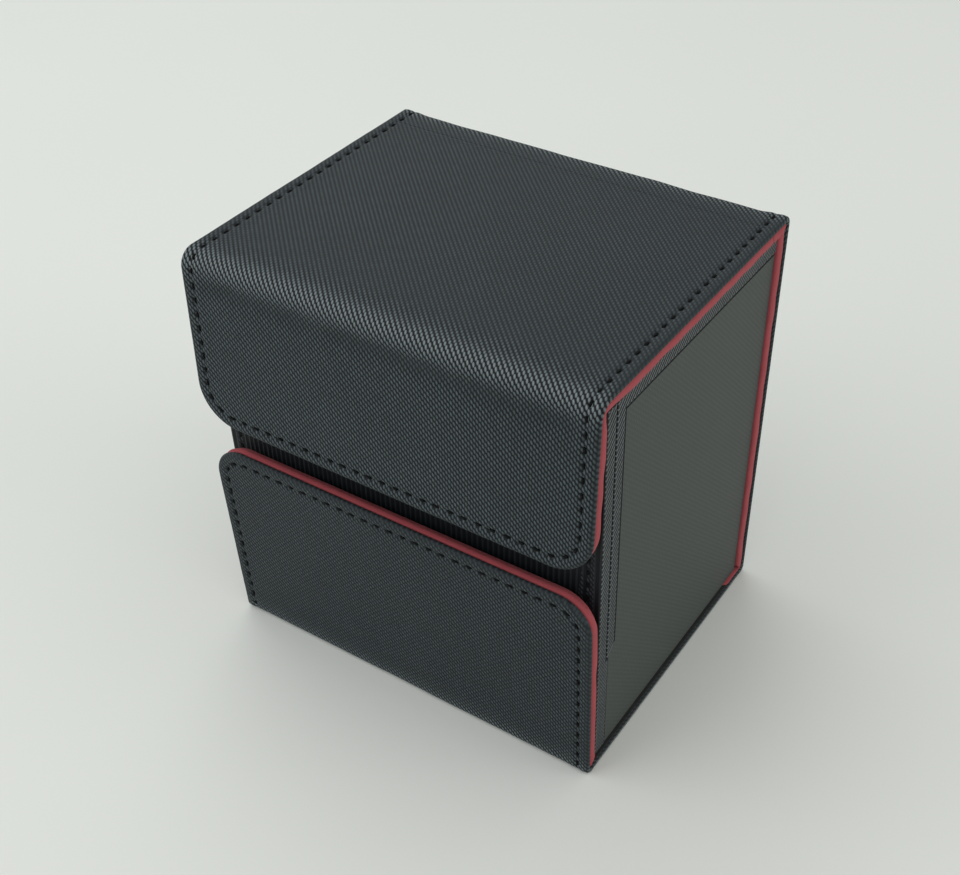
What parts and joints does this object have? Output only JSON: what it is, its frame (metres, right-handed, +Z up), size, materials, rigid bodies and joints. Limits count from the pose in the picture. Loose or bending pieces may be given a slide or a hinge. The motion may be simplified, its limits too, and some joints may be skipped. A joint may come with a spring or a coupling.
{
  "type": "card deck box",
  "caption": "Leather-covered card deck box: a wrap cover with a rear-hinged lid, a hanging upper flap and a lower flap, round an open lined card compartment.",
  "frame": {"origin": "middle of the bounding box's base, on the surface that the box stands on", "axes": "+Z up, -Y out of the front where the two flaps meet, +X to the right as seen from the front"},
  "size_m": [0.114, 0.0924, 0.117],
  "materials": {
    "leather": "matte black synthetic leather with a fine embossed weave",
    "board": "plain greyboard",
    "lining": "short-napped red microfibre",
    "thread": "black waxed thread",
    "magnet": "nickel-plated disc magnets"
  },
  "bodies": {
    "case": {"back_skin": "leather", "back_board": "board", "back_lining": "lining", "bottom_skin": "leather", "bottom_board": "board", "bottom_lining": "lining", "rear_bottom_fold": "leather", "rear_top_fold": "leather", "bottom_front_fold": "leather", "back_stitching": "thread", "bottom_stitching": "thread", "left_wall_board": "board", "right_wall_board": "board", "rear_wall_board": "board", "floor_board": "board", "front_wall_board": "board", "left_wall_skin": "leather", "right_wall_skin": "leather", "left_edge_binding": "leather", "right_edge_binding": "leather", "front_wall_skin": "leather", "front_wall_stitching": "thread", "front_wall_magnets": "magnet", "inner_lining": "lining"},
    "lid": {"top_skin": "leather", "top_board": "board", "top_lining": "lining", "top_stitching": "thread", "front_top_fold": "leather"},
    "upper_flap": {"upper_flap_skin": "leather", "upper_flap_board": "board", "upper_flap_lining": "lining", "upper_flap_stitching": "thread", "upper_flap_magnets": "magnet"},
    "lower_flap": {"lower_flap_skin": "leather", "lower_flap_board": "board", "lower_flap_lining": "lining", "lower_flap_stitching": "thread", "lower_flap_magnets": "magnet"}
  },
  "joints": [
    {"name": "lid_hinge", "type": "hinge", "parent": "case", "child": "lid", "pos_m": [0, 0.0452, 0.116], "axis": [-1, 0, 0], "range_deg": [0, 175], "deforming": ["rear_top_fold"]},
    {"name": "upper_flap_fold", "type": "hinge", "parent": "lid", "child": "upper_flap", "pos_m": [0, -0.0428, 0.116], "axis": [-1, 0, 0], "range_deg": [0, 120], "deforming": ["front_top_fold"]},
    {"name": "lower_flap_hinge", "type": "hinge", "parent": "case", "child": "lower_flap", "pos_m": [0, -0.0428, 0.001], "axis": [1, 0, 0], "range_deg": [0, 88.7], "deforming": ["bottom_front_fold"]}
  ]
}
